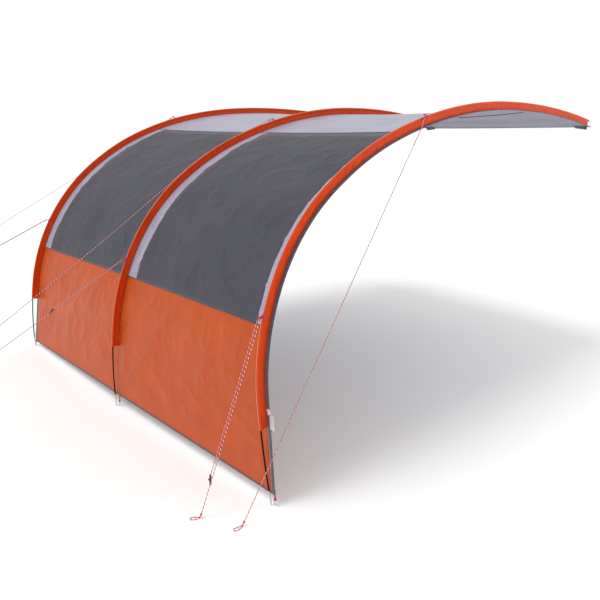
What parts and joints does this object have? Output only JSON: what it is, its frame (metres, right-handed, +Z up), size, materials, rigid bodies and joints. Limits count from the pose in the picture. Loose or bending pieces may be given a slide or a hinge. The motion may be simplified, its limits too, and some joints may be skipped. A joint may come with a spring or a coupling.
{
  "type": "tunnel tent",
  "caption": "Open-sided half-tunnel camping shelter: bent poles in sleeves carry a lower wall, mesh windows with curtains and a cantilevered roof, with guy lines and peg rings.",
  "frame": {"origin": "on the ground at the middle of the footprint of the pitched shelter, without its guy lines", "axes": "+X from the closed wall to the free edge of the roof, +Y along the tunnel from the front arch to the rear arch, +Z up"},
  "size_m": [4.4945, 3.736, 2.2655],
  "materials": {
    "orange_ripstop": "coated ripstop polyester, satin",
    "silver_ripstop": "silver-coated ripstop polyester, satin",
    "sleeve_ripstop": "coated ripstop polyester, satin",
    "window_mesh": "fine knitted mosquito mesh",
    "curtain_cloth": "thin woven polyester",
    "binding_tape": "woven binding tape",
    "patch_cloth": "reinforced woven polyester",
    "red_webbing": "woven polyester webbing",
    "black_webbing": "woven polyester webbing",
    "guy_rope": "braided polyester, red with pale flecks",
    "shock_cord": "braided cover over rubber",
    "label_cloth": "printed satin, left blank",
    "pole_tube": "black anodised",
    "ferrule_metal": "clear anodised",
    "bright_steel": "zinc plated",
    "black_plastic": "moulded",
    "red_plastic": "moulded",
    "clear_plastic": "translucent sheet"
  },
  "bodies": {
    "root": {"care_label": "label_cloth", "foot_pins": "bright_steel", "foot_webbings": "red_webbing", "free_edge_patches": "patch_cloth", "free_edge_tape": "binding_tape", "front_bay_curtain": "curtain_cloth", "front_bay_front_border": "silver_ripstop", "front_bay_lower_wall": "orange_ripstop", "front_bay_rear_border": "silver_ripstop", "front_bay_roof": "silver_ripstop", "front_bay_window_mesh": "window_mesh", "front_edge_tape": "binding_tape", "front_high_guy_line": "guy_rope", "front_low_guy_line": "guy_rope", "front_low_guy_tail": "guy_rope", "front_pole": "pole_tube", "front_sleeve": "sleeve_ripstop", "ground_hem_tape": "binding_tape", "guy_end_loops": "guy_rope", "guy_tabs": "red_webbing", "hang_tag_stud": "black_plastic", "high_guy_knots": "guy_rope", "middle_high_guy_line": "guy_rope", "middle_low_guy_line": "guy_rope", "middle_low_guy_tail": "guy_rope", "middle_pole": "pole_tube", "middle_sleeve": "sleeve_ripstop", "pole_end_caps": "black_plastic", "pole_ferrules": "ferrule_metal", "rear_bay_curtain": "curtain_cloth", "rear_bay_front_border": "silver_ripstop", "rear_bay_lower_wall": "orange_ripstop", "rear_bay_rear_border": "silver_ripstop", "rear_bay_roof": "silver_ripstop", "rear_bay_window_mesh": "window_mesh", "rear_edge_tape": "binding_tape", "rear_high_guy_line": "guy_rope", "rear_low_guy_line": "guy_rope", "rear_low_guy_tail": "guy_rope", "rear_pole": "pole_tube", "rear_sleeve": "sleeve_ripstop", "roof_tie_strap": "black_webbing", "shock_cords": "shock_cord", "toggle_webbings": "red_webbing"},
    "front_ring": {"front_peg_ring": "bright_steel"},
    "middle_ring": {"middle_peg_ring": "bright_steel"},
    "rear_ring": {"rear_peg_ring": "bright_steel"},
    "front_tensioner": {"front_slider": "black_plastic", "front_tail_knot": "guy_rope"},
    "middle_tensioner": {"middle_slider": "black_plastic", "middle_tail_knot": "guy_rope"},
    "rear_tensioner": {"rear_slider": "black_plastic", "rear_tail_knot": "guy_rope"},
    "front_bay_toggle_bar": {"front_bay_toggle": "red_plastic"},
    "rear_bay_toggle_bar": {"rear_bay_toggle": "red_plastic"},
    "tag": {"hang_tag": "clear_plastic", "hang_tag_eyelet": "black_plastic"}
  },
  "joints": [
    {"name": "front_ring_swing", "type": "hinge", "parent": "root", "child": "front_ring", "pos_m": [-1.68877, -1.7705, 0.03714], "axis": [0, 1, 0], "range_deg": [-60, 60]},
    {"name": "middle_ring_swing", "type": "hinge", "parent": "root", "child": "middle_ring", "pos_m": [-1.76287, -0.0205, 0.03689], "axis": [0, 1, 0], "range_deg": [-60, 60]},
    {"name": "rear_ring_swing", "type": "hinge", "parent": "root", "child": "rear_ring", "pos_m": [-1.76095, 1.7705, 0.03678], "axis": [0, 1, 0], "range_deg": [-60, 60]},
    {"name": "front_slider_slide", "type": "slide", "parent": "root", "child": "front_tensioner", "axis": [-0.2586, 0.1423, -0.9554], "range_m": [-0.3, 0.12]},
    {"name": "middle_slider_slide", "type": "slide", "parent": "root", "child": "middle_tensioner", "axis": [-0.8757, 0, -0.4829], "range_m": [-0.2, 0.3]},
    {"name": "rear_slider_slide", "type": "slide", "parent": "root", "child": "rear_tensioner", "axis": [-0.9079, 0, -0.4193], "range_m": [-0.3, 0.05]},
    {"name": "front_bay_toggle_turn", "type": "hinge", "parent": "root", "child": "front_bay_toggle_bar", "pos_m": [-1.60515, -1.13, 1.17717], "axis": [-0.9131, 0, 0.4078], "range_deg": [-60, 60]},
    {"name": "rear_bay_toggle_turn", "type": "hinge", "parent": "root", "child": "rear_bay_toggle_bar", "pos_m": [-1.54189, 0.6, 1.16408], "axis": [-0.8808, 0, 0.4735], "range_deg": [-60, 60]},
    {"name": "hang_tag_swing", "type": "hinge", "parent": "root", "child": "tag", "pos_m": [-1.73139, -1.7834, 0.53183], "axis": [0.9976, 0, 0.069], "range_deg": [-75, 12]}
  ]
}
